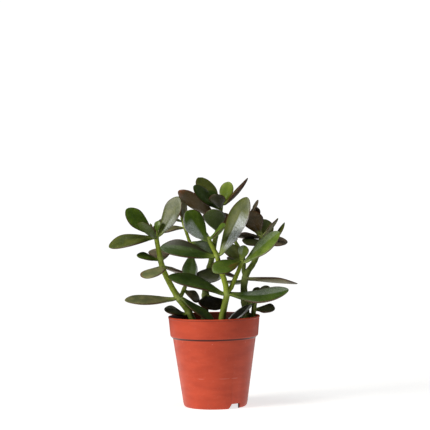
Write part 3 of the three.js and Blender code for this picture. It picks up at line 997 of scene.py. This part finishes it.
# %% Grow the stems and their scars
STEM_TREE = stem_tree()
SCAR_TREE = scar_tree()
for number, stem_name in enumerate(stem_names):
    old_and_shaded = stem_name in OLD_SHADED_STEMS
    slot = "stem_old" if old_and_shaded else "stem_young"
    finish = OLD_SHADED_STEM if old_and_shaded else YOUNG_STEM
    settings = {"Step": 0.0012, "Sides": 28, "Roughening": 0.22, "Grain": 260.0, "Finish": finish}
    stem = run_tree(stem_name + "_skin", axis_mesh(stem_name), STEM_TREE, settings)
    settle(stem, [stem_name])
    settings = {"Spacing": 0.017, "Thickness": 0.05, "Seed": number, "Finish": SCAR}
    scars = run_tree(stem_name + "_scars", axis_mesh(stem_name), SCAR_TREE, settings)
    settle(scars)
    print(f"{stem_name}: {len(stem.data.polygons)} faces, {len(scars.data.polygons)} on its scars")

# %% [markdown]
# ## The pot
#
# A nursery pot is thin injection-moulded plastic: a tapered cup, a deeper band round the mouth
# that stiffens it and lets pots stack, a foot ring with two notches that let water out, and a
# floor with drain holes. Turning an outline gives the cup, and cutters make the openings.

# %% Pot dimensions, in millimetres
pot_low, pot_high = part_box("pot")
RIM = pot_high.x / MM
MOUTH = pot_high.z / MM
WALL = 1.6
BAND_FOOT = (57.4, 92.2)
BODY_TOP = (54.2, 89.6)
BODY_FOOT = (42.0, 4.6)
FOOT_RADIUS = 39.6
FLOOR = 7.0
CUP_RADIUS = 8.0
LEDGE = 93.2
POT_SEGMENTS = 168
print(f"pot {2 * RIM:.0f} mm across, {MOUTH:.0f} mm tall")


# %% Pot outline
def body_radius(height):
    """The outside of the tapered wall at a height."""
    share = (height - BODY_FOOT[1]) / (BODY_TOP[1] - BODY_FOOT[1])
    return BODY_FOOT[0] + (BODY_TOP[0] - BODY_FOOT[0]) * share


def rounded(outline_points, steps=4):
    """An outline of (radius, height, corner radius) with its corners rounded."""
    result = []
    count = len(outline_points)
    for i, (radius, height, corner) in enumerate(outline_points):
        here = Vector((radius, height))
        if corner == 0:
            result.append(here)
            continue
        before = Vector(outline_points[i - 1][:2]) - here
        after = Vector(outline_points[(i + 1) % count][:2]) - here
        cut = min(corner, 0.45 * before.length, 0.45 * after.length)
        start = here + before.normalized() * cut
        end = here + after.normalized() * cut
        for step in range(steps + 1):
            t = step / steps
            result.append(start * (1 - t) ** 2 + here * 2 * t * (1 - t) + end * t**2)
    return result


POT_OUTLINE = [
    (0, 0, 0),
    (CUP_RADIUS - 0.5, 0, 0.6),
    (CUP_RADIUS, FLOOR, 0.6),
    (FOOT_RADIUS - 1.5, FLOOR, 0.8),
    (FOOT_RADIUS - 2, 0, 0.5),
    (FOOT_RADIUS, 0, 0.7),
    (FOOT_RADIUS + 1.5, 1.5, 1.5),
    (*BODY_FOOT, 2.5),
    (*BODY_TOP, 1.2),
    (*BAND_FOOT, 1.6),
    (RIM - 0.5, MOUTH - 2.4, 0.5),
    (RIM, MOUTH - 1.9, 0.4),
    (RIM, MOUTH - 0.3, 0.6),
    (RIM - 0.5, MOUTH, 0.6),
    (RIM - 1.8, MOUTH, 0.6),
    (RIM - 2.3, MOUTH - 1.0, 0.6),
    (BAND_FOOT[0] - WALL, LEDGE, 0.8),
    (BODY_TOP[0] - WALL, BODY_TOP[1], 0.8),
    (body_radius(FLOOR + WALL) - WALL - 0.4, FLOOR + WALL, 1.5),
    (CUP_RADIUS - WALL, FLOOR + WALL, 0.8),
    (CUP_RADIUS - WALL - 0.5, WALL, 0.6),
    (0, WALL, 0),
]


# %% Turn the outline
def level_ring(skin, radius, height, count):
    """A level ring of corners round the pot's axis, from sizes in millimetres."""
    ring = []
    for j in range(count):
        angle = 2 * math.pi * j / count
        x = radius * MM * math.cos(angle)
        y = radius * MM * math.sin(angle)
        ring.append(skin.verts.new((x, y, height * MM)))
    return ring


def turned(outline_points, segments):
    """A closed surface of revolution in metres, from an outline in millimetres."""
    skin = bmesh.new()
    rings = []
    for radius, height in outline_points:
        if radius < 0.001:
            rings.append([skin.verts.new((0, 0, height * MM))])
            continue
        rings.append(level_ring(skin, radius, height, segments))
    for lower, upper in zip(rings, rings[1:]):
        for j in range(segments):
            k = (j + 1) % segments
            corners = [lower[j % len(lower)], lower[k % len(lower)]]
            corners += [upper[k % len(upper)], upper[j % len(upper)]]
            distinct = list(dict.fromkeys(corners))
            skin.faces.new(distinct)
    bmesh.ops.recalc_face_normals(skin, faces=skin.faces)
    return skin


def temporary(name, skin):
    mesh = bpy.data.meshes.new(name)
    skin.to_mesh(mesh)
    skin.free()
    thing = bpy.data.objects.new(name, mesh)
    scene.collection.objects.link(thing)
    return thing


# %% Cutters for the drain holes and notches
NOTCH_AZIMUTHS = (-53, 127)
NOTCH_OUTLINE = [(-9, -1), (9, -1), (8.5, 6.6), (-5, 6.6)]
HOLES = 6
HOLE_RADIUS = 4.0
HOLE_CIRCLE = 26.0


def make_cutters():
    skin = bmesh.new()
    for i in range(HOLES):
        angle = 2 * math.pi * (i + 0.5) / HOLES
        x = HOLE_CIRCLE * math.cos(angle)
        y = HOLE_CIRCLE * math.sin(angle)
        spot = Matrix.Translation(Vector((x, y, FLOOR + WALL / 2)) * MM)
        radius = HOLE_RADIUS * MM
        sizes = {"radius1": radius, "radius2": radius, "depth": 3 * WALL * MM}
        bmesh.ops.create_cone(skin, cap_ends=True, segments=32, matrix=spot, **sizes)
    for azimuth in NOTCH_AZIMUTHS:
        turn = Matrix.Rotation(math.radians(azimuth + 90), 4, "Z")
        ends = []
        for y in (-(FOOT_RADIUS + 12), -(FOOT_RADIUS - 8)):
            corners = [Vector((x, y, z)) * MM for x, z in NOTCH_OUTLINE]
            ends.append([skin.verts.new(turn @ corner) for corner in corners])
        near, far = ends
        skin.faces.new(near)
        skin.faces.new(far)
        for j in range(len(near)):
            k = (j + 1) % len(near)
            skin.faces.new((near[j], near[k], far[k], far[j]))
    bmesh.ops.recalc_face_normals(skin, faces=skin.faces)
    return temporary("cutters", skin)


# %% Pot finish
SCUFF_HEIGHT = 0.0405
CHALK_HEIGHT = 0.0862


def pot_plastic(sheet, where):
    """Swirled plastic with a scuffed line, chalky specks under the band and painted shade on the inside.
    """
    parts = sheet.node("ShaderNodeSeparateXYZ", None, {"Vector": where}, "X")
    height = parts.also("Z")
    azimuth = sheet.math("ARCTAN2", parts.also("Y"), parts)
    flow = sheet.noise(sheet.stretched(where, (1, 1, 3.5)), 26, 3, 0.55)
    grain = sheet.noise(where, 1500, 2, 0.6)
    shade = sheet.blend(sheet.step(flow, 0.3, 0.7), colour("b44128"), colour("c24a2e"))
    wander = sheet.noise(where, 60, 2, 0.5)
    line = sheet.math("ABSOLUTE", height - SCUFF_HEIGHT + 0.0016 * (wander - 0.5))
    scuff = sheet.step(line, 0.00015, 0.0007, 1.0, 0.0) * sheet.step(wander, 0.45, 0.6)
    scratches = sheet.step(sheet.noise(sheet.stretched(where, (1, 1, 14)), 140, 4, 0.7), 0.62, 0.72)
    specks = sheet.step(sheet.cells(where, 170), 0.05, 0.13, 1.0, 0.0)
    from_band = sheet.math("ABSOLUTE", height - CHALK_HEIGHT)
    under_band = sheet.step(from_band, 0.0005, 0.0028, 1.0, 0.0)
    dust = sheet.step(sheet.noise(where, 210, 4, 0.7), 0.55, 0.75)
    pale = scuff * 0.25 + scratches * 0.12 + specks * (0.04 + 0.6 * under_band) + dust * 0.06
    shade = sheet.blend(sheet.clamp(pale), shade, colour("d9a99b"))
    smear = sheet.step(height, 0.0, 0.02, 0.16, 0.0) * dust
    shade = sheet.blend(sheet.clamp(smear), shade, colour("5a3328"))
    # Painted shade: the inside wall, whose normal points in towards the axis, is darkened almost to
    # black-brown
    facing = sheet.node("ShaderNodeNewGeometry", None, {}, "Normal")
    settings = {"operation": "DOT_PRODUCT"}
    away = sheet.node("ShaderNodeVectorMath", settings, {0: facing, 1: where}, "Value")
    shade = sheet.blend(sheet.step(away, -0.008, 0.0, 0.9, 0.0), shade, colour("2c120b"))
    worn = sheet.step(sheet.noise(where, 90, 4, 0.7), 0.4, 0.7)
    rough = 0.42 + 0.16 * dust + 0.12 * scratches + 0.06 * sheet.math("SINE", azimuth * 3)
    return {
        "Base Color": shade,
        "Roughness": sheet.clamp(rough + 0.05 * worn),
        "Normal": bumps(sheet, grain * 0.25 + flow * 3.0 + scuff * 0.5, 0.0002, 0.5),
    }


POT_PLASTIC = new_finish("pot_plastic", pot_plastic, **{"Specular IOR Level": 0.25})


# %% Make the pot
CREASE = math.radians(34)


def make_pot():
    pot = temporary("pot_shell", turned(rounded(POT_OUTLINE), POT_SEGMENTS))
    cutters = make_cutters()
    cut = pot.modifiers.new("cut", "BOOLEAN")
    cut.operation = "DIFFERENCE"
    cut.solver = "EXACT"
    cut.object = cutters
    bevel = pot.modifiers.new("soften", "BEVEL")
    bevel.width = 0.25 * MM
    bevel.segments = 2
    bevel.angle_limit = math.radians(50)
    evaluated = pot.evaluated_get(bpy.context.evaluated_depsgraph_get())
    shell = bpy.data.meshes.new_from_object(evaluated)
    pot.modifiers.clear()
    pot.data = shell
    pot.data.name = "pot_shell"
    bpy.data.objects.remove(cutters)
    shell.shade_smooth()
    shell.set_sharp_from_angle(angle=CREASE)
    shell.materials.clear()
    shell.materials.append(POT_PLASTIC)
    settle(pot, ["pot"])
    return pot


pot = make_pot()
print(f"pot: {len(pot.data.polygons)} faces")

# %% [markdown]
# ## Soil
#
# Potting soil is a dark, loose mix: an uneven surface with crumbs and lumps of peat on it and a
# few white grains of perlite. The ground is a turned mound made uneven with noise. The crumbs
# repeat by the thousand over its top, so Geometry Nodes scatter them, each one a pebble of
# twenty or eighty faces.

# %% Soil finishes
def earth(sheet, where):
    grain = sheet.noise(where, 500, 5, 0.7)
    damp = sheet.noise(where, 45, 2, 0.5)
    shade = sheet.blend(grain, colour("1c140e"), colour("3d2d20"))
    shade = sheet.blend(sheet.step(damp, 0.4, 0.7, 0.0, 0.35), shade, colour("120d09"))
    return {
        "Base Color": shade,
        "Roughness": sheet.clamp(0.8 + 0.2 * damp),
        "Normal": bumps(sheet, grain, 0.0012, 0.8),
    }


def crumb(sheet, where):
    tone = sheet.attribute("tone")
    grain = sheet.noise(where, 1600, 3, 0.6)
    shade = sheet.blend(tone, colour("21170f"), colour("5a432e"))
    shade = sheet.blend(grain * 0.5, shade, colour("15100b"))
    return {
        "Base Color": shade,
        "Roughness": sheet.clamp(0.78 + 0.2 * grain),
        "Normal": bumps(sheet, grain, 0.0004, 0.7),
    }


def perlite(sheet, where):
    pores = sheet.noise(where, 2200, 3, 0.7)
    return {
        "Base Color": sheet.blend(pores, colour("b9b4a8"), colour("ece8df")),
        "Roughness": sheet.clamp(0.75 + 0.2 * pores),
        "Normal": bumps(sheet, pores, 0.0004, 0.8),
    }


EARTH = new_finish("earth", earth)
CRUMB = new_finish("peat_crumb", crumb)
PERLITE = new_finish("perlite_grain", perlite)

# %% The mound
soil_low, soil_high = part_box("soil")
SOIL_TOP = soil_high.z
SOIL_EDGE = soil_high.x
MOUND_RINGS = 40
MOUND_SEGMENTS = 128


def mound_height(x, y):
    """The uneven height of the soil surface over a point."""
    radius = math.hypot(x, y)
    fall = 0.0028 * (radius / SOIL_EDGE) ** 3
    rough = noise.fractal(Vector((x, y, 0.2)) * 90, 1.0, 2.0, 4)
    return SOIL_TOP - 0.0022 - fall + 0.0011 * max(-1.0, min(1.0, rough))


def mound_rings(skin, reach, count, segments):
    """Rings of corners that lie on the soil surface, out to a radius."""
    rings = []
    for i in range(1, count + 1):
        radius = reach * i / count
        ring = []
        for j in range(segments):
            angle = 2 * math.pi * j / segments
            x, y = radius * math.cos(angle), radius * math.sin(angle)
            ring.append(skin.verts.new((x, y, mound_height(x, y))))
        rings.append(ring)
    return rings


def join_rings(skin, rings):
    for lower, upper in zip(rings, rings[1:]):
        for j in range(len(lower)):
            k = (j + 1) % len(lower)
            skin.faces.new((lower[j], lower[k], upper[k], upper[j]))


def make_mound():
    skin = bmesh.new()
    rings = mound_rings(skin, SOIL_EDGE - 0.3 * MM, MOUND_RINGS, MOUND_SEGMENTS)
    wall = [
        (52.2, BODY_TOP[1] - 0.3),
        (body_radius(FLOOR + WALL + 3) - WALL - 0.5, FLOOR + WALL + 2),
        (38.0, FLOOR + WALL + 0.4),
    ]
    for radius, height in wall:
        rings.append(level_ring(skin, radius, height, MOUND_SEGMENTS))
    join_rings(skin, rings)
    skin.faces.new(rings[0])
    skin.faces.new(rings[-1])
    return finished("soil_mound", skin, EARTH, ["soil"])


mound = make_mound()
print(f"soil mound: {len(mound.data.polygons)} faces")


# %% Scattering tree
def scatter_tree():
    inputs = {
        "Density": "Float", "Smallest": "Float", "Largest": "Float", "Rounding": "Int",
        "Sink": "Float", "Seed": "Int", "Finish": "Material",
    }
    sheet, given = new_tree("scattered_grains", inputs)
    values = {"Mesh": given["Geometry"], "Density": given["Density"], "Seed": given["Seed"]}
    points = sheet.node("GeometryNodeDistributePointsOnFaces", {"distribute_method": "RANDOM"}, values)
    values = {"Radius": 1.0, "Subdivisions": given["Rounding"]}
    pebble = sheet.node("GeometryNodeMeshIcoSphere", None, values)
    settings = {"data_type": "FLOAT_VECTOR"}
    values = {"Min": (0, 0, 0), "Max": (6.3, 6.3, 6.3), "Seed": given["Seed"]}
    spin = sheet.node("FunctionNodeRandomValue", settings, values, "Value")
    turned_by = sheet.node("FunctionNodeEulerToRotation", None, {"Euler": spin})
    low = evenly(sheet, given["Smallest"])
    high = evenly(sheet, given["Largest"])
    values = {"Min": low, "Max": high, "Seed": given["Seed"] + 7}
    size = sheet.node("FunctionNodeRandomValue", settings, values, "Value")
    values = {"Points": points, "Instance": pebble, "Rotation": turned_by, "Scale": size}
    grains = sheet.node("GeometryNodeInstanceOnPoints", None, values)
    settings = {"data_type": "FLOAT"}
    tone = sheet.node("FunctionNodeRandomValue", settings, {"Seed": given["Seed"] + 3}, "Value")
    settings = {"data_type": "FLOAT", "domain": "INSTANCE"}
    values = {"Geometry": grains, "Name": "tone", "Value": tone}
    toned = sheet.node("GeometryNodeStoreNamedAttribute", settings, values)
    real = sheet.node("GeometryNodeRealizeInstances", None, {"Geometry": toned})
    place = sheet.node("GeometryNodeInputPosition")
    values = {"Vector": place, "Scale": 700.0, "Detail": 2.0}
    rough = sheet.node("ShaderNodeTexNoise", None, values, "Color")
    centred = vector_math(sheet, "SUBTRACT", {0: rough, 1: (0.5, 0.5, 0.5)})
    amount = given["Largest"] * 0.9
    shift = vector_math(sheet, "SCALE", {"Vector": centred, "Scale": amount})
    sunk = sheet.node("ShaderNodeCombineXYZ", None, {"Z": 0 - given["Sink"]})
    lowered = vector_math(sheet, "ADD", {0: shift, 1: sunk})
    moved = sheet.node("GeometryNodeSetPosition", None, {"Geometry": real, "Offset": lowered})
    return close_tree(sheet, moved, given["Finish"])


# %% Scatter crumbs, lumps and perlite
SCATTER_REACH = 0.0525
BED_RINGS = 24
BED_SEGMENTS = 48


def bed_mesh(name):
    """The part of the soil's top that grains lie on."""
    skin = bmesh.new()
    rings = mound_rings(skin, SCATTER_REACH, BED_RINGS, BED_SEGMENTS)
    join_rings(skin, rings)
    skin.faces.new(rings[0])
    bmesh.ops.recalc_face_normals(skin, faces=skin.faces)
    mesh = bpy.data.meshes.new(name)
    skin.to_mesh(mesh)
    skin.free()
    return mesh


SCATTER_TREE = scatter_tree()
GRAIN_INPUTS = ("Density", "Smallest", "Largest", "Rounding", "Sink", "Seed", "Finish")
GRAINS = {
    "soil_crumbs": (230000.0, 0.0005, 0.0014, 1, 0.0002, 5, CRUMB),
    "soil_lumps": (26000.0, 0.0011, 0.0026, 2, 0.0007, 21, CRUMB),
    "perlite_grains": (9000.0, 0.0007, 0.0017, 2, 0.0001, 33, PERLITE),
}
for name, row in GRAINS.items():
    settings = dict(zip(GRAIN_INPUTS, row))
    grains = run_tree(name, bed_mesh(name), SCATTER_TREE, settings)
    settle(grains)
    print(f"{name}: {len(grains.data.polygons)} faces")
